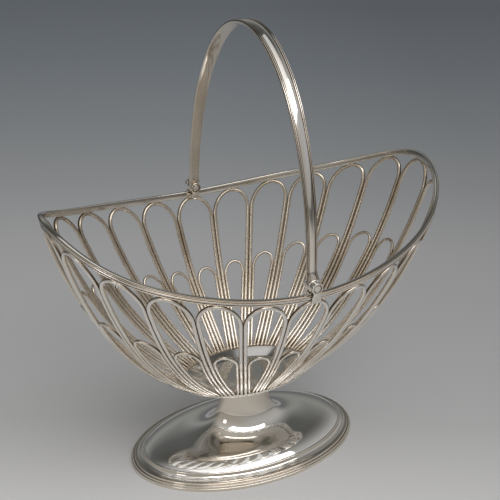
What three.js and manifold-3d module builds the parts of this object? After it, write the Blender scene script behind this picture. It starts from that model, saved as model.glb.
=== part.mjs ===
// Swing-handled wirework sugar basket in silver, in millimetres, +Z up.
// The origin is the centre of the foot's resting face, and +X runs along the bowl.
import * as THREE from 'three';
import Module from 'manifold-3d';
import { mergeVertices } from 'three/addons/utils/BufferGeometryUtils.js';

const wasm = await Module();
wasm.setup();

// Clearances between pieces that touch or turn in the real basket
const SEAT_GAP = 0.3;
const WIRE_GAP = 0.12;
const HINGE_GAP = 0.3;
const PIN_GAP = 0.25;

// Rim band, its lengths and heights taken to the middle of its section
const RIM_HALF_LENGTH = 80;
const RIM_HALF_WIDTH = 51.5;
const RIM_SIDE_HEIGHT = 93.7;
const RIM_END_RISE = 22.1;
// Shares of the end rise that follow the fourth and sixth powers of the place along
// the bowl; the rest follows the square.
const RIM_SHEER = { fourth: -0.63, sixth: 0.74 };
const RIM_BAND_HEIGHT = 2.6;
const RIM_BAND_THICKNESS = 1.9;
const RIM_REEDS = 2;
const RIM_GROOVE_DEPTH = 0.3;

// Wire loops: a large and a small one in each bay
const LOOP_COUNT = 24;
const LARGE_WIRE = 1.5;
const SMALL_WIRE = 1.15;
const FEET_OPENING = 0.34;
const ARCH_RATIO = 1.3;
const SMALL_LOOP_RISE_AT_SIDES = 28.4;
const SMALL_LOOP_RISE_AT_ENDS = 44.6;

// Bottom plate, an oval dish whose flat margin carries the feet of the wires
const PLATE_TOP = 35.2;
const PLATE_ROUNDNESS = 0.62;
const PLATE_EDGE = 1.1;
const PLATE_MARGIN = 2.6;
const PLATE_SHEET = 0.9;
const PLATE_DISH = 1.6;

// Meridian of the bowl, a cubic curve from plate to rim. Its two handles lie at these
// shares of the way out and of the way up, on the long sides and at the ends.
const SIDE_MERIDIAN = { out: [0.36, 0.67], up: [0.28, 0.47] };
const END_MERIDIAN = { out: [0.47, 0.83], up: [0.16, 0.55] };

// Foot: half lengths along X, and heights above the table
const FOOT_HALF_LENGTH = 49.7;
const FOOT_HALF_WIDTH = 31.7;
const FOOT_SHEET = 1;
const BORDER_WIDTH = 3.5;
const BORDER_HEIGHT = 4.4;
const BORDER_BASE = 1.2;
const BORDER_REEDS = 2;
const BORDER_GROOVE_DEPTH = 0.4;
const CAVETTO_WIDTH = 1.6;
const CAVETTO_HEIGHT = 4;
const RIDGE_HEIGHT = 4.9;
const SHOULDER_WIDTH = 14.3;
const SHOULDER_HEIGHT = 9;
const NECK_HALF_LENGTH = 10.8;
const NECK_HALF_WIDTH = 6.4;
const NECK_WAIST_HEIGHT = 27;
const NECK_FLARE = 0.8;

// Fall of the foot's shoulder for each millimetre outward, and the shares of the way that the foot keeps
// to the neck's and the shoulder's directions before it bends
const SHOULDER_FALL = 0.1;
const TRUMPET_DOWN = 0.72;
const TRUMPET_IN = 0.73;
const DOME_OUT = 0.66;

// Swing handle and its two hinges
const HANDLE_RISE = 81.4;
const HANDLE_THICKNESS = 1.5;
const HANDLE_TOP_WIDTH = 6.2;
const HANDLE_END_WIDTH = 3.8;
const HANDLE_EDGE_WIDTH = 0.9;
const HANDLE_EDGE_DROP = 0.5;
const KNUCKLE_RADIUS = 2.4;
const KNUCKLE_LENGTH = 3.1;
const PIN_RADIUS = 1.25;
const INNER_LUG_THICKNESS = 1.2;
const OUTER_LUG_THICKNESS = 2;
const LUG_STEM_THICKNESS = 1.1;
const LUG_STEM_WIDTH = 3.4;
const LUG_FOOT_HEIGHT = 1.8;
const LUG_STEM_DROP = 0.5;

// Facets of the model
const OVAL_STEPS = 36;
const DISH_STEPS = 4;
const FOOT_FACETS = { flare: 2, trumpet: 6, dome: 3 };
const RIM_STEPS = 60;
const HANDLE_STEPS = 28;
const ROUND_STEPS = 16;
const LARGE_LOOP_FACETS = { sides: 6, leg: 5, arch: 8 };
const SMALL_LOOP_FACETS = { sides: 5, leg: 4, arch: 6 };
const CURVE_DIVISIONS = 720;
const PROBE = 0.01;
const WELD = 0.0001;
const CUT_OVERRUN = 1;

// Places that follow from the sizes above
const rimTop = RIM_SIDE_HEIGHT + RIM_BAND_HEIGHT / 2;
const rimBottom = RIM_SIDE_HEIGHT - RIM_BAND_HEIGHT / 2;
const rimOuterFace = RIM_HALF_WIDTH + RIM_BAND_THICKNESS / 2;
const rimInnerFace = RIM_HALF_WIDTH - RIM_BAND_THICKNESS / 2;
const hingeHeight = rimTop + HINGE_GAP + KNUCKLE_RADIUS;
const lugOuterFace = rimOuterFace + SEAT_GAP + LUG_STEM_THICKNESS;
const knuckleOuterFace = lugOuterFace - OUTER_LUG_THICKNESS - HINGE_GAP;
const knuckleInnerFace = knuckleOuterFace - KNUCKLE_LENGTH;
const lugInnerFace = knuckleInnerFace - HINGE_GAP - INNER_LUG_THICKNESS;
const handleHalfWidth = knuckleInnerFace + HANDLE_THICKNESS / 2;
const feetHeight = PLATE_TOP + SEAT_GAP;

// The oval of the wires' feet is as long as all the feet side by side need
const bayAtFeet = 2 * LARGE_WIRE + 2 * SMALL_WIRE + 3 * WIRE_GAP + FEET_OPENING;
const feetHalfLength = (LOOP_COUNT * bayAtFeet) / ovalLength(PLATE_ROUNDNESS);
const feetHalfWidth = feetHalfLength * PLATE_ROUNDNESS;

// Length round an oval of half length 1, by Ramanujan's formula
function ovalLength(roundness) {
  const root = Math.sqrt((3 + roundness) * (1 + 3 * roundness));
  return Math.PI * (3 * (1 + roundness) - root);
}

const silver = (color, roughness) => new THREE.MeshStandardMaterial({ color, metalness: 1, roughness });
const polishedSilver = silver(0xd9d8d4, 0.1);
const reededSilver = silver(0xcfcdc8, 0.18);
const wireSilver = silver(0xc9c4bc, 0.22);
const hingeSilver = silver(0xb5b1a8, 0.28);

const basket = new THREE.Group();

function addPiece(name, geometry, material) {
  const piece = new THREE.Mesh(geometry, material);
  piece.name = name;
  basket.add(piece);
}

// Six times the volume inside a closed set of triangles, negative where they face inwards
function signedVolume(points, triangles) {
  let sum = 0;
  for (let i = 0; i < triangles.length; i += 3) {
    const [a, b, c] = triangles.slice(i, i + 3).map((corner) => points[corner]);
    sum += a.dot(b.clone().cross(c));
  }
  return sum;
}

// Joins rings of equal count into one closed body. The last ring meets the first when the run is
// joined, and otherwise both ends are closed flat.
function skin(rings, joined) {
  const points = rings.flat();
  const count = rings[0].length;
  const triangles = [];
  const spans = joined ? rings.length : rings.length - 1;
  for (let i = 0; i < spans; i += 1) {
    const here = i * count;
    const next = ((i + 1) % rings.length) * count;
    for (let j = 0; j < count; j += 1) {
      const k = (j + 1) % count;
      triangles.push(here + j, next + j, next + k, here + j, next + k, here + k);
    }
  }
  if (!joined) {
    const last = (rings.length - 1) * count;
    for (let j = 1; j < count - 1; j += 1) {
      triangles.push(0, j, j + 1, last, last + j + 1, last + j);
    }
  }
  if (signedVolume(points, triangles) < 0) {
    triangles.reverse();
  }
  const geometry = new THREE.BufferGeometry().setFromPoints(points);
  geometry.setIndex(triangles);
  geometry.computeVertexNormals();
  return geometry;
}

// A body of level ovals. Each point of the profile holds an oval's half length, half width and height.
function ovalBody(profile, joined) {
  const rings = profile.map((oval) => {
    const ring = [];
    for (let i = 0; i < OVAL_STEPS; i += 1) {
      const angle = (2 * Math.PI * i) / OVAL_STEPS;
      ring.push(new THREE.Vector3(oval.x * Math.cos(angle), oval.y * Math.sin(angle), oval.z));
    }
    return ring;
  });
  return skin(rings, joined);
}

function toSolid(geometry) {
  const bare = geometry.clone();
  bare.deleteAttribute('normal');
  bare.deleteAttribute('uv');
  const merged = mergeVertices(bare, WELD);
  const mesh = new wasm.Mesh({
    numProp: 3,
    vertProperties: new Float32Array(merged.attributes.position.array),
    triVerts: new Uint32Array(merged.index.array),
  });
  return new wasm.Manifold(mesh);
}

function toGeometry(solid) {
  const mesh = solid.getMesh();
  const geometry = new THREE.BufferGeometry();
  geometry.setAttribute('position', new THREE.BufferAttribute(mesh.vertProperties, 3));
  geometry.setIndex(new THREE.BufferAttribute(mesh.triVerts, 1));
  geometry.computeVertexNormals();
  return geometry;
}

// A round bar across the basket at the height of the hinge, between two distances from the middle
function hingeBar(radius, from, to) {
  const bar = new THREE.CylinderGeometry(radius, radius, to - from, ROUND_STEPS);
  return bar.translate(0, (from + to) / 2, hingeHeight);
}

// A square block centred on the hinge's plane, between two distances from the middle and two heights
function hingeBlock(width, from, to, bottom, top) {
  const block = new THREE.BoxGeometry(width, to - from, top - bottom);
  return block.translate(0, (from + to) / 2, (bottom + top) / 2);
}

function pinHole() {
  const radius = PIN_RADIUS + PIN_GAP;
  return toSolid(hingeBar(radius, lugInnerFace - CUT_OVERRUN, lugOuterFace + CUT_OVERRUN));
}

// Rim band: a reeded strip, its plain face inwards, following the boat-shaped sheer
function sheerShare(alongLength) {
  const { fourth, sixth } = RIM_SHEER;
  const square = 1 - fourth - sixth;
  return square * alongLength ** 2 + fourth * alongLength ** 4 + sixth * alongLength ** 6;
}

class RimCurve extends THREE.Curve {
  getPoint(share, target = new THREE.Vector3()) {
    const angle = 2 * Math.PI * share - Math.PI / 2;
    const alongLength = Math.cos(angle);
    const rise = RIM_END_RISE * sheerShare(alongLength);
    const y = RIM_HALF_WIDTH * Math.sin(angle);
    return target.set(RIM_HALF_LENGTH * alongLength, y, RIM_SIDE_HEIGHT + rise);
  }
}
const rimCurve = new RimCurve();
rimCurve.arcLengthDivisions = CURVE_DIVISIONS;

function rimBand() {
  const halfHeight = RIM_BAND_HEIGHT / 2;
  const halfThickness = RIM_BAND_THICKNESS / 2;
  const section = [[-halfThickness, -halfHeight], [-halfThickness, halfHeight]];
  for (let i = 0; i <= 2 * RIM_REEDS; i += 1) {
    const groove = i % 2 === 0 ? RIM_GROOVE_DEPTH : 0;
    section.push([halfThickness - groove, halfHeight - (RIM_BAND_HEIGHT * i) / (2 * RIM_REEDS)]);
  }
  const rings = [];
  for (let i = 0; i < RIM_STEPS; i += 1) {
    const share = i / RIM_STEPS;
    const middle = rimCurve.getPoint(share);
    const along = rimCurve.getTangent(share);
    const outward = new THREE.Vector3(along.y, -along.x, 0).normalize();
    rings.push(section.map(([out, up]) => {
      const point = middle.clone().addScaledVector(outward, out);
      point.z += up;
      return point;
    }));
  }
  return skin(rings, true);
}
addPiece('rim_band', rimBand(), reededSilver);

// Bowl surface that the wires follow. Bays are counted round from the front hinge, and climb
// runs from 0 at the feet of the wires to 1 at the crowns under the rim.
class FeetCurve extends THREE.Curve {
  getPoint(share, target = new THREE.Vector3()) {
    const angle = 2 * Math.PI * share - Math.PI / 2;
    return target.set(feetHalfLength * Math.cos(angle), feetHalfWidth * Math.sin(angle), feetHeight);
  }
}
const feetCurve = new FeetCurve();
feetCurve.arcLengthDivisions = CURVE_DIVISIONS;

function bowlPoint(bay, climb) {
  const turn = bay / LOOP_COUNT;
  const share = turn - Math.floor(turn);
  const foot = feetCurve.getPointAt(share);
  const crown = rimCurve.getPointAt(share);
  const endwise = (crown.x / RIM_HALF_LENGTH) ** 2;
  crown.z -= RIM_BAND_HEIGHT / 2 + SEAT_GAP + LARGE_WIRE / 2;
  const span = crown.clone().sub(foot);
  const handles = [0, 1].map((i) => {
    const out = THREE.MathUtils.lerp(SIDE_MERIDIAN.out[i], END_MERIDIAN.out[i], endwise);
    const up = THREE.MathUtils.lerp(SIDE_MERIDIAN.up[i], END_MERIDIAN.up[i], endwise);
    return span.clone().multiply(new THREE.Vector3(out, out, up)).add(foot);
  });
  return new THREE.CubicBezierCurve3(foot, ...handles, crown).getPoint(climb);
}

const climbStep = (bay, climb) => bowlPoint(bay, climb + PROBE).sub(bowlPoint(bay, climb - PROBE));
const roundStep = (bay, climb) => bowlPoint(bay + PROBE, climb).sub(bowlPoint(bay - PROBE, climb));

// Width of a bay at one place on the bowl, measured square to the wires
function bayWidth(bay, climb) {
  const upward = climbStep(bay, climb).normalize();
  return roundStep(bay, climb).projectOnPlane(upward).length() / (2 * PROBE);
}

// Climb at which one meridian of the bowl stands at a height above the feet
function climbTo(bay, rise) {
  let below = 0;
  let above = 1;
  while (above - below > PROBE / 100) {
    const middle = (below + above) / 2;
    if (bowlPoint(bay, middle).z < feetHeight + rise) {
      below = middle;
    } else {
      above = middle;
    }
  }
  return above;
}

// Path of one loop up its left leg, over its arch and down its right leg. The legs keep their
// distance from the border between two bays.
function loopPath(bay, fromBorder, reach, facets) {
  const leg = (side, climb) => {
    const border = bay + side / 2;
    return bay + side * (0.5 - fromBorder / bayWidth(border, climb));
  };
  const halfSpan = bayWidth(bay, reach) / 2 - fromBorder;
  const climbRate = climbStep(bay, reach).length() / (2 * PROBE);
  const spring = reach - (ARCH_RATIO * halfSpan) / climbRate;
  const left = leg(-1, spring);
  const right = leg(1, spring);
  const path = [];
  for (let i = 0; i < facets.leg; i += 1) {
    const climb = (spring * i) / facets.leg;
    path.push([leg(-1, climb), climb]);
  }
  for (let i = 0; i <= facets.arch; i += 1) {
    const angle = (Math.PI * i) / facets.arch;
    const across = (left + right) / 2 - ((right - left) / 2) * Math.cos(angle);
    path.push([across, spring + (reach - spring) * Math.sin(angle)]);
  }
  for (let i = facets.leg - 1; i >= 0; i -= 1) {
    const climb = (spring * i) / facets.leg;
    path.push([leg(1, climb), climb]);
  }
  return path;
}

// Round wire along a path on the bowl, its two ends cut level with the plate
function loopWire(path, radius, sides) {
  const middles = path.map(([bay, climb]) => bowlPoint(bay, climb));
  const last = middles.length - 1;
  const rings = middles.map((middle, i) => {
    const before = middles[Math.max(i - 1, 0)];
    const after = middles[Math.min(i + 1, last)];
    const along = after.clone().sub(before).normalize();
    const [bay, climb] = path[i];
    const outward = roundStep(bay, climb).cross(climbStep(bay, climb)).projectOnPlane(along).normalize();
    const sideways = along.clone().cross(outward);
    const ring = [];
    for (let j = 0; j < sides; j += 1) {
      const angle = (2 * Math.PI * j) / sides;
      const point = middle.clone().addScaledVector(outward, radius * Math.cos(angle));
      point.addScaledVector(sideways, radius * Math.sin(angle));
      if (i === 0 || i === last) {
        point.addScaledVector(along, (feetHeight - point.z) / along.z);
      }
      ring.push(point);
    }
    return ring;
  });
  return skin(rings, false);
}

const largeFromBorder = (WIRE_GAP + LARGE_WIRE) / 2;
const smallFromBorder = WIRE_GAP / 2 + LARGE_WIRE + WIRE_GAP + SMALL_WIRE / 2;
for (let bay = 0; bay < LOOP_COUNT; bay += 1) {
  const label = String(bay + 1).padStart(2, '0');
  const largePath = loopPath(bay, largeFromBorder, 1, LARGE_LOOP_FACETS);
  addPiece(`large_loop_${label}`, loopWire(largePath, LARGE_WIRE / 2, LARGE_LOOP_FACETS.sides), wireSilver);
  const endwise = (bowlPoint(bay, 1).x / RIM_HALF_LENGTH) ** 2;
  const rise = THREE.MathUtils.lerp(SMALL_LOOP_RISE_AT_SIDES, SMALL_LOOP_RISE_AT_ENDS, endwise);
  const smallPath = loopPath(bay, smallFromBorder, climbTo(bay, rise), SMALL_LOOP_FACETS);
  addPiece(`small_loop_${label}`, loopWire(smallPath, SMALL_WIRE / 2, SMALL_LOOP_FACETS.sides), wireSilver);
}

// Bottom plate
const plateHalfLength = feetHalfLength + PLATE_EDGE;
const plateHalfWidth = feetHalfWidth + PLATE_EDGE;
const dishHalfLength = plateHalfLength - PLATE_MARGIN;
const dishHalfWidth = plateHalfWidth - PLATE_MARGIN;
const dishHeight = (share) => PLATE_TOP - PLATE_DISH * (1 - share ** 2);

function bottomPlate() {
  const top = [];
  for (let i = 1; i <= DISH_STEPS; i += 1) {
    const share = i / DISH_STEPS;
    top.push(new THREE.Vector3(share * dishHalfLength, share * dishHalfWidth, dishHeight(share)));
  }
  top.push(new THREE.Vector3(plateHalfLength, plateHalfWidth, PLATE_TOP));
  const under = top.map((oval) => new THREE.Vector3(oval.x, oval.y, oval.z - PLATE_SHEET));
  return ovalBody([...top, ...under.reverse()], false);
}
addPiece('bottom_plate', bottomPlate(), polishedSilver);

// Foot: a trumpet neck that spreads to a low dome, then a hollow moulding and a skirt inside the border
const footNarrowing = FOOT_HALF_LENGTH - FOOT_HALF_WIDTH;
const borderInnerFace = FOOT_HALF_LENGTH - BORDER_WIDTH;
const skirtFace = borderInnerFace - SEAT_GAP;
const ridgeHalfLength = skirtFace - CAVETTO_WIDTH;

// Oval of the foot at one half length. From the neck to the ridge its width grows evenly.
function footOval(halfLength, height) {
  const ridgeHalfWidth = ridgeHalfLength - footNarrowing;
  const share = (halfLength - NECK_HALF_LENGTH) / (ridgeHalfLength - NECK_HALF_LENGTH);
  const spread = THREE.MathUtils.lerp(NECK_HALF_WIDTH, ridgeHalfWidth, share);
  return new THREE.Vector3(halfLength, share < 1 ? spread : halfLength - footNarrowing, height);
}

// Height of the neck's lip, close under the dish
function lipHeight() {
  const lengthShare = (NECK_HALF_LENGTH + NECK_FLARE - FOOT_SHEET) / dishHalfLength;
  const widthShare = (NECK_HALF_WIDTH + NECK_FLARE - FOOT_SHEET) / dishHalfWidth;
  return dishHeight(Math.min(lengthShare, widthShare)) - PLATE_SHEET - SEAT_GAP;
}

function footFace() {
  const lip = new THREE.Vector3(NECK_HALF_LENGTH + NECK_FLARE, NECK_HALF_WIDTH + NECK_FLARE, lipHeight());
  const shoulder = ridgeHalfLength - SHOULDER_WIDTH;
  const flare = new THREE.QuadraticBezierCurve3(
    lip,
    footOval(NECK_HALF_LENGTH, (lip.z + NECK_WAIST_HEIGHT) / 2),
    footOval(NECK_HALF_LENGTH, NECK_WAIST_HEIGHT),
  );
  const onShoulder = (halfLength) =>
    footOval(halfLength, SHOULDER_HEIGHT + SHOULDER_FALL * (shoulder - halfLength));
  const trumpet = new THREE.CubicBezierCurve3(
    footOval(NECK_HALF_LENGTH, NECK_WAIST_HEIGHT),
    footOval(NECK_HALF_LENGTH, THREE.MathUtils.lerp(NECK_WAIST_HEIGHT, SHOULDER_HEIGHT, TRUMPET_DOWN)),
    onShoulder(THREE.MathUtils.lerp(shoulder, NECK_HALF_LENGTH, TRUMPET_IN)),
    onShoulder(shoulder),
  );
  const dome = new THREE.QuadraticBezierCurve3(
    onShoulder(shoulder),
    onShoulder(THREE.MathUtils.lerp(shoulder, ridgeHalfLength, DOME_OUT)),
    footOval(ridgeHalfLength, RIDGE_HEIGHT),
  );
  return [
    ...flare.getPoints(FOOT_FACETS.flare),
    ...trumpet.getPoints(FOOT_FACETS.trumpet).slice(1),
    ...dome.getPoints(FOOT_FACETS.dome).slice(1),
    footOval(skirtFace, CAVETTO_HEIGHT),
  ];
}

function footShell() {
  const outer = footFace();
  const inner = outer.map((oval, i) => {
    const before = outer[Math.max(i - 1, 0)];
    const after = outer[Math.min(i + 1, outer.length - 1)];
    const along = new THREE.Vector2(after.x - before.x, after.z - before.z).normalize();
    const inset = along.y * FOOT_SHEET;
    const drop = i === 0 ? 0 : along.x * FOOT_SHEET;
    return new THREE.Vector3(oval.x + inset, oval.y + inset, oval.z - drop);
  });
  inner[inner.length - 1].copy(footOval(skirtFace - FOOT_SHEET, CAVETTO_HEIGHT - FOOT_SHEET));
  const skirt = [footOval(skirtFace, 0), footOval(skirtFace - FOOT_SHEET, 0)];
  return ovalBody([...outer, ...skirt, ...inner.reverse()], true);
}
addPiece('foot', footShell(), polishedSilver);

function footBorder() {
  const profile = [footOval(borderInnerFace, 0), footOval(FOOT_HALF_LENGTH, 0)];
  for (let i = 0; i <= 2 * BORDER_REEDS; i += 1) {
    const angle = (Math.PI / 4) * (i / BORDER_REEDS);
    const groove = i % 2 === 1 ? BORDER_GROOVE_DEPTH : 0;
    const out = (BORDER_WIDTH - groove) * Math.cos(angle);
    const up = (BORDER_HEIGHT - BORDER_BASE - groove) * Math.sin(angle);
    profile.push(footOval(borderInnerFace + out, BORDER_BASE + up));
  }
  return ovalBody(profile, true);
}
addPiece('foot_border', footBorder(), reededSilver);

// Swing handle: a strip bent to half an oval, reeded outside, with a hinge knuckle at each end
function handleStrip() {
  const start = Math.asin((KNUCKLE_RADIUS + PIN_RADIUS + PIN_GAP) / 2 / HANDLE_RISE);
  const rings = [];
  for (let i = 0; i <= HANDLE_STEPS; i += 1) {
    const angle = THREE.MathUtils.lerp(start, Math.PI - start, i / HANDLE_STEPS);
    const rise = Math.sin(angle);
    const y = handleHalfWidth * Math.cos(angle);
    const middle = new THREE.Vector3(0, y, hingeHeight + HANDLE_RISE * rise);
    const outward = new THREE.Vector3(0, HANDLE_RISE * Math.cos(angle), handleHalfWidth * rise).normalize();
    const half = THREE.MathUtils.lerp(HANDLE_END_WIDTH, HANDLE_TOP_WIDTH, rise) / 2;
    const section = [
      [-half, -HANDLE_THICKNESS / 2],
      [half, -HANDLE_THICKNESS / 2],
      [half, HANDLE_THICKNESS / 2 - HANDLE_EDGE_DROP],
      [half - HANDLE_EDGE_WIDTH, HANDLE_THICKNESS / 2],
      [HANDLE_EDGE_WIDTH - half, HANDLE_THICKNESS / 2],
      [-half, HANDLE_THICKNESS / 2 - HANDLE_EDGE_DROP],
    ];
    rings.push(section.map(([across, out]) => {
      const point = middle.clone().addScaledVector(outward, out);
      point.x += across;
      return point;
    }));
  }
  return skin(rings, false);
}

function swingHandle() {
  const strip = toSolid(handleStrip());
  const knuckle = toSolid(hingeBar(KNUCKLE_RADIUS, knuckleInnerFace, knuckleOuterFace));
  const hole = pinHole();
  return toGeometry(
    strip
      .add(knuckle)
      .add(knuckle.mirror([0, 1, 0]))
      .subtract(hole)
      .subtract(hole.mirror([0, 1, 0])),
  );
}
addPiece('swing_handle', swingHandle(), reededSilver);

// Hinge lugs: the outer one stands against the rim's outer face, and the inner one reaches out to
// the rim's inner face
function outerLug() {
  const eye = toSolid(hingeBar(KNUCKLE_RADIUS, lugOuterFace - OUTER_LUG_THICKNESS, lugOuterFace));
  const bottom = rimBottom - LUG_STEM_DROP;
  const stemFrom = lugOuterFace - LUG_STEM_THICKNESS;
  const stem = toSolid(hingeBlock(LUG_STEM_WIDTH, stemFrom, lugOuterFace, bottom, hingeHeight));
  return eye.add(stem).subtract(pinHole());
}

function innerLug() {
  const outside = lugInnerFace + INNER_LUG_THICKNESS;
  const bottom = rimBottom + SEAT_GAP;
  const reachTo = rimInnerFace - SEAT_GAP;
  const eye = toSolid(hingeBar(KNUCKLE_RADIUS, lugInnerFace, outside));
  const stem = toSolid(hingeBlock(LUG_STEM_WIDTH, lugInnerFace, outside, bottom, hingeHeight));
  const foot = toSolid(hingeBlock(LUG_STEM_WIDTH, lugInnerFace, reachTo, bottom, bottom + LUG_FOOT_HEIGHT));
  return eye.add(stem).add(foot).subtract(pinHole());
}

const hingePieces = {
  outer_lug: outerLug(),
  inner_lug: innerLug(),
  hinge_pin: toSolid(hingeBar(PIN_RADIUS, lugInnerFace, lugOuterFace)),
};
for (const [name, solid] of Object.entries(hingePieces)) {
  addPiece(`${name}_back`, toGeometry(solid), hingeSilver);
  addPiece(`${name}_front`, toGeometry(solid.mirror([0, 1, 0])), hingeSilver);
}

export default basket;
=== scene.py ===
"""Silver wirework sugar basket with a swing handle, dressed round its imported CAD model. The pieces' sizes are
written in millimetres and laid into their meshes in metres. The table's and the lamps' are in metres."""
import math

import bpy
import numpy as np
from mathutils import Matrix


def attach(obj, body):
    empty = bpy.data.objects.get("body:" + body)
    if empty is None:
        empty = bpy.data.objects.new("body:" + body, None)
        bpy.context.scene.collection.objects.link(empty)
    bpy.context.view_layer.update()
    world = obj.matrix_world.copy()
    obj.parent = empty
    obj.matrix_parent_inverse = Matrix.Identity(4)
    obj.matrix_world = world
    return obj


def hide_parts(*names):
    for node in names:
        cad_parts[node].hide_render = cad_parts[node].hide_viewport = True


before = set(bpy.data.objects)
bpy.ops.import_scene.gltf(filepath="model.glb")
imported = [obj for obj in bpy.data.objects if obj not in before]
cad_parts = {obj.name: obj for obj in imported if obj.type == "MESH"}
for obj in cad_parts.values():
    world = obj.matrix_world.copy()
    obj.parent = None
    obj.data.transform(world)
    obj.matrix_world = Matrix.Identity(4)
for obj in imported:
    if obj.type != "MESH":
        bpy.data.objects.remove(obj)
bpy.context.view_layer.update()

# FOOT
# A hollow trumpet of sterling sheet about 1 mm thick, raised over an oval stake and soldered to the
# plate at its lip. It spreads to a low dome that ends in a fine ridge above a hollow moulding.
FOOT_NARROWING = 18.0
FOOT_SHEET = 1.0
NECK = (10.8, 6.4)
NECK_LIP = (11.6, 32.9)
WAIST_HEIGHT = 27.0
SHOULDER = (30.0, 9.0)
RIDGE = 44.3
ROUND_POINTS = 256
MM = 0.001


def bezier(points, steps):
    """Points on a Bezier curve: each control point weighted by its Bernstein polynomial."""
    points = np.asarray(points, float)
    order = len(points) - 1
    share = np.linspace(0, 1, steps)[:, None]
    weights = [math.comb(order, i) * share**i * (1 - share) ** (order - i) for i in range(order + 1)]
    return sum(weight * point for weight, point in zip(weights, points))


def lay_mesh(name, *bodies):
    """One piece of closed bodies. A body is a grid of points in millimetres, a shade for each row or point, and
    its kind. Each row of the grid is a closed ring, joined point by point to the next row. In a hoop the last
    row meets the first, and in a rod both end rows are closed flat, with a sharp edge. Faces are turned outwards
    by the volume that a body's sides have round its middle."""
    points, faces, shades, start = [], [], [], 0
    for grid, shade, kind in bodies:
        rows, columns = grid.shape[:2]
        index = start + np.arange(rows * columns).reshape(rows, columns)
        following = np.roll(index, -1, 0) if kind == "hoop" else index[1:]
        current = index if kind == "hoop" else index[:-1]
        quads = np.stack([current, following, np.roll(following, -1, 1), np.roll(current, -1, 1)], -1).reshape(-1, 4)
        flat = grid.reshape(-1, 3)
        a, b, c, d = (flat[quads[:, k] - start] - flat.mean(0) for k in range(4))
        inward = (a * np.cross(b, c)).sum() + (a * np.cross(c, d)).sum() < 0
        ends = [] if kind == "hoop" else [index[:1], index[-1:, ::-1]]
        faces += [face for group in [quads, *ends] for face in (group[:, ::-1] if inward else group).tolist()]
        shade = np.asarray(shade, float)
        shade = shade.reshape(shade.shape + (1,) * (2 - shade.ndim))
        shades.append(np.broadcast_to(shade, (rows, columns)).ravel())
        points.append(flat)
        start += rows * columns
    mesh = bpy.data.meshes.new(name)
    mesh.from_pydata((np.concatenate(points) * MM).tolist(), [], faces)
    mesh.shade_smooth()
    corners = np.array([len(face) for face in faces])
    edge_at_corner = np.empty(corners.sum(), int)
    mesh.loops.foreach_get("edge_index", edge_at_corner)
    end_edges = edge_at_corner[np.repeat(corners > 4, corners)]
    mesh.edges.foreach_set("use_edge_sharp", np.isin(np.arange(len(mesh.edges)), end_edges))
    layer = mesh.attributes.new("recess", "FLOAT", "POINT")
    layer.data.foreach_set("value", np.clip(np.concatenate(shades), 0, 1))
    piece = bpy.data.objects.new(name, mesh)
    bpy.context.scene.collection.objects.link(piece)
    return piece


def foot_width(half_length):
    """Half width of the foot's oval: it grows evenly from the neck to the ridge, and on either side of that
    span it keeps the same distance from the half length."""
    spread = np.interp(half_length, [NECK[0], RIDGE], [NECK[1], RIDGE - FOOT_NARROWING])
    spread = np.where(half_length < NECK[0], half_length - NECK[0] + NECK[1], spread)
    return np.where(half_length > RIDGE, half_length - FOOT_NARROWING, spread)


def oval_grid(half_length, half_width, height):
    """Rings of an oval body: x is the half length times the cosine of the turn, y the half width times its sine."""
    turn = np.linspace(0, 2 * np.pi, ROUND_POINTS, endpoint=False)
    x = half_length[:, None] * np.cos(turn)
    y = half_width[:, None] * np.sin(turn)
    return np.stack([x, y, np.broadcast_to(height[:, None], x.shape)], -1)


def inner_face(outer, thickness):
    """The other face of a sheet: each point moved by the thickness along the profile's normal, last point first."""
    along = np.gradient(outer, axis=0)
    along /= np.linalg.norm(along, axis=1, keepdims=True)
    return (outer + thickness * np.stack([along[:, 1], -along[:, 0]], 1))[::-1]


def spread_over(tree, value, low, high, to_low=0.0, to_high=1.0, course="LINEAR"):
    """A number that runs from to_low to to_high while the value runs from low to high, and is level beyond."""
    spread = tree.nodes.new("ShaderNodeMapRange")
    spread.interpolation_type = course
    tree.links.new(value, spread.inputs["Value"])
    for socket, number in zip(("From Min", "From Max", "To Min", "To Max"), (low, high, to_low, to_high)):
        spread.inputs[socket].default_value = number
    return spread.outputs[0]


def tone_ramp(tree, value, tones):
    """A colour that runs straight from each tone to the next as the value passes their places."""
    ramp = tree.nodes.new("ShaderNodeValToRGB")
    while len(ramp.color_ramp.elements) < len(tones):
        ramp.color_ramp.elements.new(0.5)
    for element, (position, colour) in zip(ramp.color_ramp.elements, tones):
        element.position, element.color = position, (*colour, 1)
    tree.links.new(value, ramp.inputs["Fac"])
    return ramp.outputs["Color"]


# Tones from clean silver through yellow to brown: they paint shade as well as the tarnishing.
CLEAN_TO_TARNISHED_AND_SHADED = [
    (0.0, (0.915, 0.9, 0.878)), (0.35, (0.77, 0.7, 0.6)), (0.7, (0.4, 0.325, 0.24)), (1.0, (0.09, 0.068, 0.05)),
]
PATCH_SCALE = 38.0
GRAIN_SCALE = 260.0
SCRATCH_SCALE = (300.0, 4200.0, 1800.0)
SCRATCH_TURN = (0.2, 0.4, 0.7)
DENT_DEPTH = 0.0004


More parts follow.
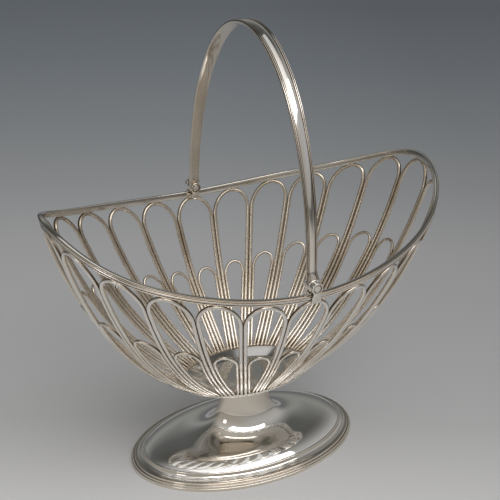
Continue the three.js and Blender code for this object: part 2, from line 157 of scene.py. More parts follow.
def silver(name, roughness, wear, ripple):
    """Polished silver. Broad soft patches are added to the piece's own recess values, which hold painted shade as
    well as the tarnishing, and their sum runs from clean metal through yellow to brown, which is also duller.
    Finer noise and long faint scratches vary the gloss, and two sizes of noise dent the surface."""
    material = bpy.data.materials.new(name)
    material.use_nodes = True
    tree = material.node_tree
    nodes, links = tree.nodes, tree.links
    shader = nodes["Principled BSDF"]
    shader.inputs["Metallic"].default_value = 1

    def noise(vector, scale, detail):
        """Cloudy noise of the given scale, from 0 to 1."""
        texture = nodes.new("ShaderNodeTexNoise")
        texture.inputs["Scale"].default_value, texture.inputs["Detail"].default_value = scale, detail
        links.new(vector, texture.inputs["Vector"])
        return texture.outputs["Fac"]

    def scaled_sum(first, first_factor, second, second_factor):
        """The first value times its factor, plus the second value times its own factor."""
        product, total = nodes.new("ShaderNodeMath"), nodes.new("ShaderNodeMath")
        product.operation, total.operation = "MULTIPLY", "MULTIPLY_ADD"
        links.new(first, product.inputs[0])
        links.new(second, total.inputs[0])
        product.inputs[1].default_value, total.inputs[1].default_value = first_factor, second_factor
        links.new(product.outputs[0], total.inputs[2])
        return total.outputs[0]

    place = nodes.new("ShaderNodeTexCoord").outputs["Object"]
    stretch = nodes.new("ShaderNodeMapping")
    stretch.inputs["Scale"].default_value = SCRATCH_SCALE
    stretch.inputs["Rotation"].default_value = SCRATCH_TURN
    links.new(place, stretch.inputs["Vector"])
    patches = noise(place, PATCH_SCALE, 4.0)
    grain = noise(place, GRAIN_SCALE, 1.0)
    scratches = noise(stretch.outputs[0], 1.0, 1.0)

    recess = nodes.new("ShaderNodeAttribute")
    recess.attribute_name = "recess"
    # The recess values, and so this sum, carry painted shade as well as the tarnishing.
    tarnish_and_shade = scaled_sum(spread_over(tree, patches, 0.42, 0.72), wear, recess.outputs["Fac"], 1.0)
    links.new(tone_ramp(tree, tarnish_and_shade, CLEAN_TO_TARNISHED_AND_SHADED), shader.inputs["Base Color"])

    gloss = scaled_sum(grain, 0.8, scratches, 0.2)
    dullness = spread_over(tree, gloss, 0.35, 0.65, roughness * 0.85, roughness * 1.2)
    links.new(scaled_sum(dullness, 1.0, tarnish_and_shade, 0.12), shader.inputs["Roughness"])

    bump = nodes.new("ShaderNodeBump")
    bump.inputs["Strength"].default_value, bump.inputs["Distance"].default_value = ripple, DENT_DEPTH
    links.new(scaled_sum(patches, 1.0, grain, 0.08), bump.inputs["Height"])
    links.new(bump.outputs[0], shader.inputs["Normal"])
    return material


def finish_piece(piece, material, slot, body, *nodes):
    """Gives a piece its material and the body that it moves with, and hides the nodes it stands for. The slot is not
    used.
    """
    piece.data.materials.append(material)
    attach(piece, body)
    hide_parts(*nodes)


sheet_silver = silver("sheet_silver", roughness=0.05, wear=0.08, ripple=0.05)
foot_outer = np.concatenate([
    bezier([NECK_LIP, (NECK[0], 30.0), (NECK[0], WAIST_HEIGHT)], 16)[:-1],
    bezier([(NECK[0], WAIST_HEIGHT), (NECK[0], 14.0), (16.0, 10.4), SHOULDER], 64)[:-1],
    bezier([SHOULDER, (39.5, 8.0), (43.9, 5.05)], 32),
    bezier([(44.0, 5.12), (44.45, 5.25), (44.6, 4.75)], 8),
    bezier([(44.62, 4.6), (44.75, 3.75), (45.85, 3.35)], 12),
])
foot_inner = inner_face(foot_outer, FOOT_SHEET)
foot_inner[-1, 1] = NECK_LIP[1]
foot_edge = [(45.9, 3.3), (45.9, 0.1), (45.85, 0.02), (45.1, 0.02), (44.95, 0.1), (44.9, 2.5)]
foot_profile = np.concatenate([foot_outer, foot_edge, foot_inner])
# Painted shade: a dark line in the hollow under the ridge, and dark inner faces. The neck also darkens upwards to the
# plate above it.
foot_recess = np.interp(foot_outer[:, 0], [44.4, 44.62, 44.9, 45.8], [0.02, 0.5, 0.12, 0.05])
foot_recess = np.maximum(foot_recess, np.interp(foot_outer[:, 1], [11, 18, 30.5, 32.6], [0, 0.3, 0.34, 0.5]))
foot_recess = np.concatenate([foot_recess, np.full(len(foot_edge) + len(foot_inner), 0.5)])
foot_rings = oval_grid(foot_profile[:, 0], foot_width(foot_profile[:, 0]), foot_profile[:, 1])
foot = lay_mesh("foot_trumpet", (foot_rings, foot_recess, "hoop"))
finish_piece(foot, sheet_silver, "polished_silver", "basket", "foot")

# FOOT BORDER
# A moulding of drawn silver wire, bent to the foot's oval and soldered round its edge. A hollow carries on
# from the foot's ridge to two rounded reeds, which step down to a plain flange that stands on the table.
BORDER_INNER = 45.98
BORDER_OUTER = 49.7
REEDS_START = (47.3, 2.72)
REEDS_SLOPE = math.radians(35)


def reeds(edges, crests, groove, points):
    """A row of reeds: between each two edges the height follows half a sine wave, with points closest at the
    edges. Gives the place across the reeds, the height, and a shade that is 1 near an edge and falls to 0 at
    the groove's distance from it."""
    share = (1 - np.cos(np.linspace(0, np.pi, points))) / 2
    low, high, crest = np.asarray(edges[:-1])[:, None], np.asarray(edges[1:])[:, None], np.asarray(crests)[:, None]
    across = low + (high - low) * share
    lift = crest * np.sin(np.pi * share)
    from_edge = np.minimum(np.abs(across - low), np.abs(high - across))
    return across.ravel(), lift.ravel(), np.clip(1.6 - 1.6 * from_edge / groove, 0, 1).ravel()


reed_silver = silver("reed_silver", roughness=0.085, wear=0.2, ripple=0.012)
border_across, border_lift, border_shade = reeds([0, 1.3, 2.3], [0.45, 0.4], 0.16, 15)
down_slope = np.array([math.cos(REEDS_SLOPE), -math.sin(REEDS_SLOPE)])
off_slope = np.array([math.sin(REEDS_SLOPE), math.cos(REEDS_SLOPE)])
border_profile = np.concatenate([
    [(BORDER_INNER + 0.02, 0.1), (BORDER_INNER, 2.0), (BORDER_INNER + 0.02, 3.2)],
    bezier([(BORDER_INNER + 0.06, 3.24), (46.6, 2.85), (47.2, 2.76)], 10),
    REEDS_START + border_across[:, None] * down_slope + border_lift[:, None] * off_slope,
    bezier([(49.25, 1.35), (49.65, 1.3), (BORDER_OUTER, 0.8)], 8),
    [(BORDER_OUTER, 0.15), (49.62, 0.02), (49.5, 0.0), (46.2, 0.0), (46.05, 0.02)],
])
# Painted shade: the inner wall under the foot's edge is dark, and the reeds darken towards their grooves, over a tan
# tarnishing.
border_recess = np.concatenate([[0.6, 0.6, 0.2], np.full(10, 0.06), 0.22 + 0.4 * border_shade, np.full(13, 0.28)])
border_rings = oval_grid(border_profile[:, 0], foot_width(border_profile[:, 0]), border_profile[:, 1])
border = lay_mesh("foot_border_reeds", (border_rings, border_recess, "hoop"))
finish_piece(border, reed_silver, "reeded_silver", "basket", "foot_border")

# BOTTOM PLATE
# A shallow oval dish of silver sheet, cut a little larger than the ring of wire feet that is soldered
# to its flat margin.
PLATE_TOP = 35.2
PLATE_SHEET = 0.9
PLATE_DISH = 1.9
PLATE_WELL = 0.7
PLATE_BELLY = 1.5
PLATE_EDGE = 0.4
FEET_OVAL = (27.91, 17.31)
PLATE_OVAL = (29.01, 18.41)
DISH_OVAL = (26.41, 15.81)

plate_silver = silver("plate_silver", roughness=0.1, wear=0.08, ripple=0.03)
dish_share = np.linspace(0.004, 1, 60)
margin = np.linspace(0, PLATE_OVAL[0] - PLATE_EDGE - DISH_OVAL[0], 7)[1:]
edge_turn = np.linspace(np.pi / 2, -np.pi / 2, 13)[1:]
under_share = dish_share[::-3]
plate_length, plate_width = (np.concatenate([
    dish_share * dish,
    dish + margin,
    whole - PLATE_EDGE * (1 - np.cos(edge_turn)),
    under_share * dish,
]) for dish, whole in zip(DISH_OVAL, PLATE_OVAL))
plate_height = np.concatenate([
    PLATE_TOP - PLATE_DISH * np.clip((1 - dish_share) / (1 - PLATE_WELL), 0, 1),
    np.full(len(margin), PLATE_TOP),
    PLATE_TOP - PLATE_SHEET / 2 * (1 - np.sin(edge_turn)),
    PLATE_TOP - PLATE_SHEET - PLATE_BELLY * (1 - under_share**5),
])
# A dark ring just inside the foot of the dish's wall and a bright ring at it are painted shade and a painted
# highlight. The margin that the wires' feet stand on is darker.
plate_recess = np.concatenate([
    np.interp(dish_share, [0.6, 0.68, 0.7, 0.72, 0.9, 1], [0.06, 0.2, 0.0, 0.05, 0.05, 0.3]),
    np.full(len(margin), 0.55),
    np.full(len(edge_turn), 0.12),
    np.full(len(under_share), 0.2),
])
plate = lay_mesh("dished_plate", (oval_grid(plate_length, plate_width, plate_height), plate_recess, "rod"))
finish_piece(plate, plate_silver, "polished_silver", "basket", "bottom_plate")

# WIRE LOOPS
# Twenty-four tall loops of round silver wire stand side by side on the plate and carry the rim on their
# crowns, and a shorter, thinner loop stands inside each. Neighbouring legs are soldered together.
LOOP_COUNT = 24
LARGE_PITCH = 1.62
SMALL_PITCH = 1.445
LARGE_WIRE = 1.59
SMALL_WIRE = 1.24
ARCH_RATIO = 1.3
RIM_OVAL = (80.0, 51.5)
RIM_SIDE = 93.7
RIM_RISE = 22.1
RIM_SHEER = (1 + 0.63 - 0.74, -0.63, 0.74)
RIM_HEIGHT = 2.6
SIDE_MERIDIAN = ((0.36, 0.28), (0.67, 0.47))
END_MERIDIAN = ((0.47, 0.16), (0.83, 0.55))
SMALL_RISE_SIDES = 28.4
SMALL_RISE_ENDS = 44.6
SEAT_GAP = 0.3
CROWN_SINK = 0.1
FEET_SINK = 0.05

line_turn = np.linspace(-np.pi / 2, 3 * np.pi / 2, 2881)


def rim_line(turn):
    """The middle of the rim: an oval whose height follows the second, fourth and sixth powers of the place
    along the bowl."""
    lengthwise = np.cos(turn)
    sheer = sum(share * lengthwise ** (2 * i + 2) for i, share in enumerate(RIM_SHEER))
    return np.stack([RIM_OVAL[0] * lengthwise, RIM_OVAL[1] * np.sin(turn), RIM_SIDE + RIM_RISE * sheer], -1)


def feet_line(turn):
    """The level oval on which the wires stand."""
    height = np.full(np.shape(turn), PLATE_TOP)
    return np.stack([FEET_OVAL[0] * np.cos(turn), FEET_OVAL[1] * np.sin(turn), height], -1)


def evenly(line):
    """A function that gives the point of a closed line at a share of its length, from a table of arc lengths."""
    steps = np.linalg.norm(np.diff(line(line_turn), axis=0), axis=1)
    length = np.concatenate([[0], np.cumsum(steps)]) / steps.sum()
    return lambda share: line(np.interp(np.mod(share, 1), length, line_turn))


rim_at, feet_at = evenly(rim_line), evenly(feet_line)


def bowl(bay, climb):
    """The surface that the wires lie in: a cubic curve from foot to crown in each upright section. Its two
    handles lie at shares of the way out and up that change from the sides to the ends."""
    foot_point, crown = feet_at(bay / LOOP_COUNT), rim_at(bay / LOOP_COUNT)
    endwise = (crown[..., :1] / RIM_OVAL[0]) ** 2
    crown = crown - [0, 0, RIM_HEIGHT / 2 + LARGE_WIRE / 2 - CROWN_SINK]
    span = crown - foot_point
    handles = []
    for side, end in zip(SIDE_MERIDIAN, END_MERIDIAN):
        out, rise = (side[k] + (end[k] - side[k]) * endwise for k in (0, 1))
        handles.append(foot_point + span * np.concatenate([out, out, rise], -1))
    t = climb[..., None]
    near, far = 3 * t * (1 - t) ** 2 * handles[0], 3 * t**2 * (1 - t) * handles[1]
    return (1 - t) ** 3 * foot_point + near + far + t**3 * crown


def slopes(bay, climb, step=0.002):
    """Changes of the bowl's surface for one bay round it and for one whole climb, by small differences."""
    around = (bowl(bay + step, climb) - bowl(bay - step, climb)) / (2 * step)
    upward = (bowl(bay, climb + step) - bowl(bay, climb - step)) / (2 * step)
    return around, upward


def bay_width(bay, climb):
    """Width of one bay, measured square to the wires."""
    around, upward = slopes(bay, climb)
    upward = upward / np.linalg.norm(upward, axis=-1, keepdims=True)
    return np.linalg.norm(around - (around * upward).sum(-1, keepdims=True) * upward, axis=-1)


def loop_path(bay, from_border, reach, leg_points, arch_points):
    """Bays and climbs of one loop. Each leg keeps its distance from the border between two bays, and the
    arch is half an ellipse in these two measures."""
    middle, top = np.array([float(bay)]), np.array([reach])
    half_span = bay_width(middle, top) / 2 - from_border
    spring = reach - (ARCH_RATIO * half_span / np.linalg.norm(slopes(middle, top)[1], axis=-1))[0]
    climb = np.linspace(0, spring, leg_points)
    widths = [bay_width(np.full(leg_points, bay + side / 2), climb) for side in (-1, 1)]
    legs = [bay + side * (0.5 - from_border / width) for side, width in zip((-1, 1), widths)]
    turn = np.linspace(0, np.pi, arch_points)[1:-1]
    left, right = legs[0][-1], legs[1][-1]
    arch = (left + right) / 2 - (right - left) / 2 * np.cos(turn)
    bays = np.concatenate([legs[0], arch, legs[1][::-1]])
    return bays, np.concatenate([climb, spring + (reach - spring) * np.sin(turn), climb[::-1]])


def climb_to(bay, rise):
    """The climb at which one upright section of the bowl stands at a height above the plate."""
    climb = np.linspace(0, 1, 400)
    return float(np.interp(PLATE_TOP + rise, bowl(np.full(400, float(bay)), climb)[:, 2], climb))


def bent_wire(name, bays, climbs, radius, sides, inner_contact):
    """Round wire on a path in the bowl: circles square to the path, framed by the bowl's outward normal, their
    end circles slid along the wire onto the level of the plate. The shade is brown along both sides, darkest
    where the wire lies against its neighbours: painted shade between touching wires over some tarnishing. The
    face that looks into the bowl is yellow, a tint that thins out towards the plate, painted light on the low
    wires where the lamp's highlight falls. The wire is also darker at its feet."""
    path = bowl(bays, climbs)
    along = np.gradient(path, axis=0)
    along /= np.linalg.norm(along, axis=1, keepdims=True)
    outward = np.cross(*slopes(bays, climbs))
    outward -= (outward * along).sum(-1, keepdims=True) * along
    outward /= np.linalg.norm(outward, axis=1, keepdims=True)
    sideways = np.cross(along, outward)
    turn = np.linspace(0, 2 * np.pi, sides, endpoint=False)
    spokes = outward[:, None] * np.cos(turn)[:, None] + sideways[:, None] * np.sin(turn)[:, None]
    rings = path[:, None] + radius * spokes
    for end in (0, -1):
        slide = (PLATE_TOP - FEET_SINK - rings[end, :, 2]) / along[end, 2]
        rings[end] += slide[:, None] * along[end]
    from_middle = np.abs(bays - bays.mean()) / np.abs(bays - bays.mean()).max()
    # Painted shade along both sides, darkest where the wire lies against its neighbours, over some tarnishing.
    outer_contact_shade = np.clip(-np.sin(turn), 0, 1) ** 3 * np.interp(from_middle, [0, 0.85], [0.5, 1])[:, None]
    inner_contact_shade = np.clip(np.sin(turn), 0, 1) ** 3 * np.where(climbs < inner_contact, 0.9, 0.4)[:, None]
    # The inner face's yellow thins out towards the plate: painted light on the low wires.
    facing_in = 0.5 * (0.5 - 0.5 * np.cos(turn)) ** 1.2 * np.interp(climbs, [0.1, 0.5], [0.3, 1])[:, None]
    low = np.interp(climbs, [0.01, 0.07], [0.45, 0])
    return lay_mesh(name, (rings, np.maximum(outer_contact_shade + inner_contact_shade, facing_in) + low[:, None], "rod"))


wire_silver = silver("wire_silver", roughness=0.19, wear=0.2, ripple=0.02)
small_from_border = LARGE_PITCH / 2 + SMALL_PITCH
for bay in range(LOOP_COUNT):
    label = f"{bay + 1:02d}"
    lengthwise = float(rim_at(np.array(bay / LOOP_COUNT))[0] / RIM_OVAL[0])
    rise = SMALL_RISE_SIDES + (SMALL_RISE_ENDS - SMALL_RISE_SIDES) * lengthwise**2
    small_reach = climb_to(bay, rise + SEAT_GAP)
    large_path = loop_path(bay, LARGE_PITCH / 2, 1.0, 34, 34)
    large = bent_wire(f"tall_wire_{label}", *large_path, LARGE_WIRE / 2, 20, 0.8 * small_reach)
    finish_piece(large, wire_silver, "wire_silver", "basket", f"large_loop_{label}")
    small_path = loop_path(bay, small_from_border, small_reach, 26, 26)
    small = bent_wire(f"short_wire_{label}", *small_path, SMALL_WIRE / 2, 18, 0.0)
    finish_piece(small, wire_silver, "wire_silver", "basket", f"small_loop_{label}")

# RIM BAND
# A strip of silver, plain inside and reeded outside with a broad reed between two fine ones, bent to an
# oval that rises like a boat's gunwale. It flares a little with the bowl, and is soldered onto the crowns.
RIM_POINTS = 720
RIM_FLARE = 10.0

rim_across, rim_lift, rim_shade = reeds([1.24, 0.56, -0.56, -1.24], [0.36, 0.46, 0.4], 0.3, 13)
# Each pair of the section is a distance outward and a height, and each recess belongs to one pair.
rim_section = np.concatenate([
    [(0.35, 1.3)],
    np.stack([0.44 + rim_lift, rim_across], 1),
    [(0.35, -1.3), (-0.78, -1.3), (-0.9, -1.2), (-0.92, -1.0), (-0.92, 1.0), (-0.9, 1.2), (-0.78, 1.3)],
])
# The dark lines in the reeds' grooves are painted shade over tarnishing, and the underside is darker at its outer
# edge: painted shade under the rim.
rim_recess = np.concatenate([[0.1], 0.95 * rim_shade, [0.5], np.full(5, 0.22), [0.1]])
flare = math.radians(RIM_FLARE)
rim_section = rim_section @ np.array([[math.cos(flare), -math.sin(flare)], [math.sin(flare), math.cos(flare)]])
rim_turn = np.linspace(0, 2 * np.pi, RIM_POINTS, endpoint=False)
rim_ahead = np.roll(rim_line(rim_turn), -1, 0) - np.roll(rim_line(rim_turn), 1, 0)
rim_outward = np.stack([rim_ahead[:, 1], -rim_ahead[:, 0], np.zeros(RIM_POINTS)], 1)
rim_outward /= np.linalg.norm(rim_outward, axis=1, keepdims=True)
rim_rings = rim_line(rim_turn)[:, None] + rim_outward[:, None] * rim_section[:, :1]
rim_rings[..., 2] += rim_section[:, 1]
rim = lay_mesh("reeded_rim", (rim_rings, np.broadcast_to(rim_recess, rim_rings.shape[:2]), "hoop"))
finish_piece(rim, reed_silver, "reeded_silver", "basket", "rim_band")

# HINGE LUGS AND PINS
# Two pairs of silver ears stand on the rim's long sides, one ear outside the rim and one inside, and a
# rivet through both carries the handle's knuckle between them.
HINGE_HEIGHT = 97.7
EYE_RADIUS = 2.2
KNUCKLE_RADIUS = 2.4
HOLE_RADIUS = 1.5
PIN_RADIUS = 1.42
OUTER_EYE = (51.85, 53.85)
INNER_EYE = (46.95, 48.15)
KNUCKLE = (48.45, 51.55)

lug_silver = silver("lug_silver", roughness=0.12, wear=0.3, ripple=0.08)


def turned(radii, places, side):
    """A body turned about the hinge's axis: each pair of the profile gives a radius and a place along Y, which
    is on the back of the basket for a side of 1 and on the front for -1."""
    turn = np.linspace(0, 2 * np.pi, 48, endpoint=False)
    radii, places = np.asarray(radii, float)[:, None], np.asarray(places, float)[:, None]
    x, z = radii * np.cos(turn), HINGE_HEIGHT + radii * np.sin(turn)
    return np.stack([x, np.broadcast_to(side * places, x.shape), z], -1)


def eye(span, radius, side, edge=0.2):
    """A flat ring with softened outer edges, from the hole's wall over the rim of the ring and back."""
    low, high = span
    radii = [HOLE_RADIUS, HOLE_RADIUS + 0.06, radius - edge, radius - edge / 3, radius]
    places = [high - 0.05, high, high, high - edge / 3, high - edge, low + edge, low + edge / 3, low, low, low + 0.05]
    # The hole's wall is painted dark: painted shade inside the bore.
    shades = [0.9, 0.5, 0.1, 0.05, 0.15, 0.15, 0.2, 0.4, 0.6, 0.9]
    return turned(radii + radii[::-1], places, side), shades, "hoop"


def stem(table, side):
    """An upright tab: at each height a flattened round section, half as wide as given there, between an inner
    and an outer face. The powers of cosine and sine square off the round."""
    turn = np.linspace(0, 2 * np.pi, 32, endpoint=False)
    x, y = (np.sign(wave) * np.abs(wave) ** 0.7 for wave in (np.cos(turn), np.sin(turn)))
    heights, half_widths, inner, outer = (np.asarray(column)[:, None] for column in np.asarray(table, float).T)
    depth = side * ((inner + outer) / 2 + (outer - inner) / 2 * y)
    return np.stack([half_widths * x, depth, np.broadcast_to(heights, depth.shape)], -1), 0.15, "rod"


# A row of a stem's table is a height, a half width, and the places of its inner and outer face along Y.
outer_stem = [
    (91.9, 1.2, 52.95, 53.3), (92.1, 1.75, 52.8, 53.5), (92.8, 2.0, 52.75, 53.7), (93.6, 1.85, 52.75, 53.78),
    (94.6, 1.55, 52.75, 53.8), (95.6, 1.4, 52.75, 53.8), (96.4, 1.2, 52.9, 53.7),
]
inner_stem = [
    (92.7, 1.3, 47.1, 50.3), (92.9, 1.7, 46.98, 50.45), (93.6, 1.7, 46.95, 50.45), (94.2, 1.65, 46.95, 50.4),
    (94.6, 1.6, 46.95, 48.5), (95.4, 1.5, 46.95, 48.15), (96.2, 1.3, 47.05, 48.05),
]
pin_radii = [0.02, 0.75, 1.15, 1.34, PIN_RADIUS]
pin_radii += pin_radii[::-1]
pin_places = [53.8, 53.79, 53.74, 53.66, 53.5, 47.25, 47.12, 47.04, 46.98, 46.96]
# The shank is painted dark where it runs inside the eyes: painted shade in the bore.
pin_recess = [0.1, 0.1, 0.2, 0.5, 0.8, 0.8, 0.5, 0.2, 0.1, 0.1]
for side, label in ((1, "back"), (-1, "front")):
    outer_lug = lay_mesh(f"outer_ear_{label}", eye(OUTER_EYE, EYE_RADIUS, side), stem(outer_stem, side))
    finish_piece(outer_lug, lug_silver, "hinge_silver", "basket", f"outer_lug_{label}")
    inner_lug = lay_mesh(f"inner_ear_{label}", eye(INNER_EYE, EYE_RADIUS, side), stem(inner_stem, side))
    finish_piece(inner_lug, lug_silver, "hinge_silver", "basket", f"inner_lug_{label}")
    pin = lay_mesh(f"rivet_{label}", (turned(pin_radii, pin_places, side), pin_recess, "rod"))
    finish_piece(pin, lug_silver, "hinge_silver", "basket", f"hinge_pin_{label}")

# SWING HANDLE
# A strip of drawn silver bent to half an oval, plain inside, with a broad rounded band between pairs of
# fine threads outside. It narrows to each end, where it spreads into the knuckle that the rivet holds.
HANDLE_RISE = 81.4
HANDLE_HALF_SPAN = 49.2
HANDLE_HALF_WIDTHS = (1.9, 3.1)
HANDLE_POINTS = 241
STRIP_START = 1.9
FILLET_HEIGHT = 4.5
FILLET_DEPTH = 1.3
FILLET_WIDTH = 0.45

start = math.asin(STRIP_START / HANDLE_RISE)
arch_turn = np.linspace(start, np.pi - start, HANDLE_POINTS)
rise_share = np.sin(arch_turn)
half_width = np.interp(rise_share, (0, 1), HANDLE_HALF_WIDTHS)
above_hinge = HANDLE_RISE * rise_share
fillet = np.clip(1 - (above_hinge - STRIP_START) / FILLET_HEIGHT, 0, 1) ** 2.4
middle = np.stack([np.zeros(HANDLE_POINTS), HANDLE_HALF_SPAN * np.cos(arch_turn), HINGE_HEIGHT + above_hinge], 1)
outward = np.stack([np.zeros(HANDLE_POINTS), HANDLE_RISE * np.cos(arch_turn), HANDLE_HALF_SPAN * rise_share], 1)
outward /= np.linalg.norm(outward, axis=1, keepdims=True)
across, lift, groove = reeds([-0.99, -0.79, -0.57, 0.57, 0.79, 0.99], [0.22, 0.26, 0.42, 0.26, 0.22], 0.08, 11)
reed_shade = np.repeat([0.05, 0.05, 0.02, 0.05, 0.05], 11)
across = np.concatenate([across, [1.0, 0.97, 0.88, 0.0, -0.88, -0.97, -1.0]])
outer_part = np.concatenate([np.ones(len(lift)), [0.6, 0.0, 0.0, 0.0, 0.0, 0.0, 0.6]])
height_out = np.concatenate([0.33 + lift, [0.1, -0.62, -0.75, -0.75, -0.75, -0.62, 0.1]])
offset = height_out + FILLET_DEPTH * fillet[:, None] * outer_part
handle_rings = middle[:, None] + outward[:, None] * offset[..., None]
handle_rings[..., 0] += across * (half_width + FILLET_WIDTH * fillet)[:, None]
# The grooves between the threads are painted dark: painted shade over tarnishing. The strip also darkens low on each
# arm and at the fillet into the knuckle.
handle_shade = np.concatenate([reed_shade + 0.85 * groove, [0.12, 0.2, 0.22, 0.22, 0.22, 0.2, 0.12]])
low_shade = 0.25 * fillet + np.interp(above_hinge, [15, 55], [0.08, 0])
knuckles = [eye(KNUCKLE, KNUCKLE_RADIUS, side, edge=0.3) for side in (1, -1)]
handle = lay_mesh("reeded_handle", (handle_rings, handle_shade + low_shade[:, None], "rod"), *knuckles)
finish_piece(handle, reed_silver, "reeded_silver", "handle", "swing_handle")

# SOLDER
# Small silver fillets fill the corners where the crowns of the tall loops meet the rim, and a low bead
# runs round the plate under the feet of the wires.
LENS_HALF_SIZES = (1.9, 0.62, 0.4)

solder_silver = silver("solder_silver", roughness=0.2, wear=0.4, ripple=0.2)


def solder_lens(share):
    """A flattened lens along the rim at a share of its length: a half turn along it gives oval rings that
    shrink to both ends."""
    centre = rim_at(share) - [0, 0, RIM_HEIGHT / 2 + CROWN_SINK]
    along = rim_at(share + 0.001) - rim_at(share)
    along /= np.linalg.norm(along)
    out = np.cross(along, [0, 0, 1.0])
    out /= np.linalg.norm(out)
    half_turn = np.linspace(0.08, np.pi - 0.08, 9)[:, None, None]
    turn = np.linspace(0, 2 * np.pi, 14, endpoint=False)[:, None]
    length, depth, height = LENS_HALF_SIZES
    ring = depth * np.cos(turn) * out + height * np.sin(turn) * np.cross(out, along)
    return centre + length * np.cos(half_turn) * along + np.sin(half_turn) * ring


lenses = [(solder_lens(np.array(bay / LOOP_COUNT)), 0.3, "rod") for bay in range(LOOP_COUNT)]
finish_piece(lay_mesh("rim_solder", *lenses), solder_silver, "wire_silver", "basket")
bead_turn = np.linspace(0, 2 * np.pi, 16, endpoint=False)
bead_length, bead_width = (feet + 0.5 * np.cos(bead_turn) for feet in FEET_OVAL)
bead_rings = oval_grid(bead_length, bead_width, PLATE_TOP + 0.02 + 0.3 * np.sin(bead_turn))
bead = lay_mesh("feet_solder", (bead_rings, 0.55, "hoop"))
finish_piece(bead, solder_silver, "wire_silver", "basket")

# STUDIO
# A pale table top stands in a grey room, darkest behind the basket. The table's colour holds painted light and
# shade: it darkens away from the camera and to the sides, more so on the right, a painted falloff of the lamps'
# light, and a painted pool of light lies on it just in front of the foot. One soft lamp hangs high on the
# camera's right, a small one low on its left, and a broad faint one overhead.
CAMERA_TURN = (-27.85, 25.824, 1.088)
CAMERA_DISTANCE = 439.39
CAMERA_SHIFT = (1.708, 26.425)
CAMERA_TARGET = (0, 0, 60.0)
FOCAL_PIXELS = 1092.32
PHOTO_PIXELS = 500

azimuth, elevation, roll = (math.radians(angle) for angle in CAMERA_TURN)
back = np.array([math.sin(azimuth), -math.cos(azimuth), math.tan(elevation)]) * math.cos(elevation)
right = np.array([math.cos(azimuth), math.sin(azimuth), 0])
upright = np.cross(back, right)
rolled_right = math.cos(roll) * right + math.sin(roll) * upright
rolled_up = math.cos(roll) * upright - math.sin(roll) * right
camera_place = CAMERA_TARGET + back * CAMERA_DISTANCE
camera_place += rolled_right * CAMERA_SHIFT[0] + rolled_up * CAMERA_SHIFT[1]
camera_data = bpy.data.cameras.new("camera")
camera_data.sensor_width = 36
camera_data.lens = FOCAL_PIXELS * camera_data.sensor_width / PHOTO_PIXELS
camera_data.clip_start, camera_data.clip_end = 0.01, 50
camera = bpy.data.objects.new("camera", camera_data)
axes = np.eye(4)
axes[:3, 0], axes[:3, 1], axes[:3, 2], axes[:3, 3] = rolled_right, rolled_up, back, camera_place * MM
camera.matrix_world = Matrix(axes.tolist())
bpy.context.scene.collection.objects.link(camera)
bpy.context.scene.camera = camera

TABLE_REACH = 12.0
# Paper tones by the distance from the camera, holding a painted pool of light in front of the foot and a painted
# falloff further away.
TABLE_PAINTED_LIGHT_TONES = [
    (0.04, (0.82, 0.81, 0.79)), (0.11, (0.72, 0.72, 0.72)), (0.165, (0.83, 0.83, 0.83)), (0.21, (0.64, 0.645, 0.65)),
    (0.27, (0.585, 0.59, 0.605)), (0.35, (0.54, 0.545, 0.56)), (0.43, (0.425, 0.442, 0.457)),
    (0.53, (0.338, 0.367, 0.394)), (0.66, (0.274, 0.306, 0.346)), (0.83, (0.228, 0.257, 0.297)),
]

table_mesh = bpy.data.meshes.new("table_top")
corners = np.array([(-1, -1, 0), (1, -1, 0), (1, 1, 0), (-1, 1, 0)]) * TABLE_REACH
table_mesh.from_pydata(corners.tolist(), [], [(0, 1, 2, 3)])
table = bpy.data.objects.new("table_top", table_mesh)
bpy.context.scene.collection.objects.link(table)
table_material = bpy.data.materials.new("table_paper")
table_material.use_nodes = True
paper = table_material.node_tree
nodes, links = paper.nodes, paper.links
nodes["Principled BSDF"].inputs["Roughness"].default_value = 0.9
turn_to_view = nodes.new("ShaderNodeMapping")
turn_to_view.inputs["Rotation"].default_value = (0, 0, -azimuth)
links.new(nodes.new("ShaderNodeTexCoord").outputs["Object"], turn_to_view.inputs["Vector"])
split = nodes.new("ShaderNodeSeparateXYZ")
links.new(turn_to_view.outputs[0], split.inputs[0])
away_from_middle = nodes.new("ShaderNodeMath")
away_from_middle.operation = "ABSOLUTE"
links.new(split.outputs["X"], away_from_middle.inputs[0])
# Painted falloff of the lamps' light towards both sides, more on the right.
painted_side_falls = nodes.new("ShaderNodeMath")
painted_side_falls.operation = "MULTIPLY"
links.new(spread_over(paper, away_from_middle.outputs[0], 0.35, 0.9, 1.0, 0.35, "SMOOTHSTEP"), painted_side_falls.inputs[0])
links.new(spread_over(paper, split.outputs["X"], -0.03, 0.16, 1.0, 0.84), painted_side_falls.inputs[1])
paper_and_painted_light = nodes.new("ShaderNodeVectorMath")
paper_and_painted_light.operation = "SCALE"
links.new(tone_ramp(paper, spread_over(paper, split.outputs["Y"], -0.25, 1.0), TABLE_PAINTED_LIGHT_TONES), paper_and_painted_light.inputs[0])
links.new(painted_side_falls.outputs[0], paper_and_painted_light.inputs["Scale"])
links.new(paper_and_painted_light.outputs[0], nodes["Principled BSDF"].inputs["Base Color"])
table_mesh.materials.append(table_material)

world = bpy.data.worlds.new("studio")
bpy.context.scene.world = world
world.use_nodes = True
room = world.node_tree
nodes, links = room.nodes, room.links
direction = nodes.new("ShaderNodeTexCoord").outputs["Generated"]
split = nodes.new("ShaderNodeSeparateXYZ")
links.new(direction, split.inputs[0])


def side_share(towards, low, high):
    """How far a direction turns towards a level azimuth, from 0 at one cosine to 1 at another."""
    product = nodes.new("ShaderNodeVectorMath")
    product.operation = "DOT_PRODUCT"
    angle = math.radians(towards)
    product.inputs[1].default_value = (math.sin(angle), math.cos(angle), 0)
    links.new(direction, product.inputs[0])
    return spread_over(room, product.outputs["Value"], low, high, course="SMOOTHSTEP")


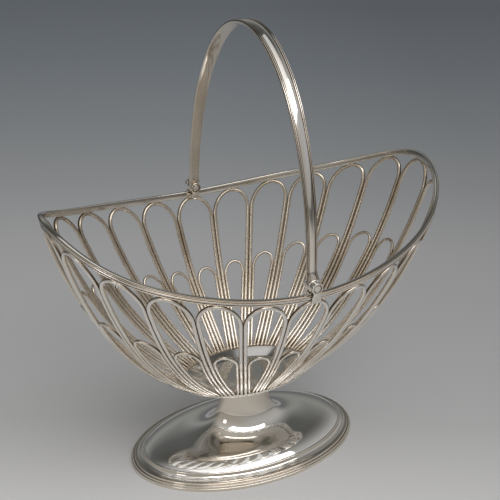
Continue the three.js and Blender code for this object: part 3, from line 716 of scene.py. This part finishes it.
def wall(tones):
    """Grey levels by the sine of the elevation, from -1 straight down to 1 straight up."""
    rise = spread_over(room, split.outputs["Z"], -1, 1)
    return tone_ramp(room, rise, [((sine + 1) / 2, tone) for sine, tone in tones])


def mixed(factor, first, second):
    """The first colour where the factor is 0 and the second where it is 1."""
    mix = nodes.new("ShaderNodeMix")
    mix.data_type = "RGBA"
    sockets = {socket.identifier: socket for socket in [*mix.inputs, *mix.outputs]}
    links.new(factor, sockets["Factor_Float"])
    links.new(first, sockets["A_Color"])
    links.new(second, sockets["B_Color"])
    return sockets["Result_Color"]


behind = wall([
    (-0.1, (0.14, 0.143, 0.147)), (0.15, (0.14, 0.143, 0.147)), (0.3, (0.23, 0.235, 0.22)),
    (0.38, (0.25, 0.255, 0.245)), (0.49, (0.185, 0.19, 0.185)), (0.64, (0.1, 0.102, 0.1)),
    (0.95, (0.06, 0.06, 0.055)),
])
in_front = wall([
    (-0.2, (0.36, 0.35, 0.33)), (0.3, (0.36, 0.345, 0.32)), (0.7, (0.46, 0.45, 0.43)), (0.95, (0.66, 0.65, 0.64)),
])
to_right = wall([
    (-0.2, (0.3, 0.3, 0.29)), (0.3, (0.42, 0.42, 0.43)), (0.7, (0.42, 0.42, 0.41)), (0.95, (0.4, 0.39, 0.37)),
])
walls = mixed(side_share(-152.0, -0.35, 0.6), behind, in_front)
links.new(mixed(side_share(118.0, 0.3, 0.9), walls, to_right), nodes["Background"].inputs["Color"])
nodes["Background"].inputs["Strength"].default_value = 1.0

LAMPS_AIM = (0, 0, 0.06)


def softbox(name, azimuth_deg, elevation_deg, distance, width, height, radiance, colour):
    """A rectangular lamp that faces the basket from a distance. Its power is its radiance times pi times its area."""
    data = bpy.data.lights.new(name, "AREA")
    data.shape = "RECTANGLE"
    data.size, data.size_y = width, height
    data.energy = radiance * math.pi * width * height
    data.color = colour
    lamp = bpy.data.objects.new(name, data)
    a, e = math.radians(azimuth_deg), math.radians(elevation_deg)
    towards = np.array([math.sin(a) * math.cos(e), math.cos(a) * math.cos(e), math.sin(e)])
    side = np.array([math.cos(a), -math.sin(a), 0])
    axes = np.eye(4)
    axes[:3, 0], axes[:3, 1], axes[:3, 2] = side, np.cross(towards, side), towards
    axes[:3, 3] = towards * distance + LAMPS_AIM
    lamp.matrix_world = Matrix(axes.tolist())
    bpy.context.scene.collection.objects.link(lamp)


softbox("key_lamp", 165.0, 51.0, 1.1, 1.15, 0.36, 2.6, (1.0, 0.985, 0.995))
softbox("fill_lamp", -126.0, 24.0, 1.0, 0.2, 0.22, 3.0, (1.0, 0.97, 0.98))
softbox("ceiling_lamp", 168.0, 77.0, 1.3, 1.15, 1.7, 0.5, (0.99, 1.0, 1.0))

bpy.context.scene.view_settings.view_transform = "Standard"
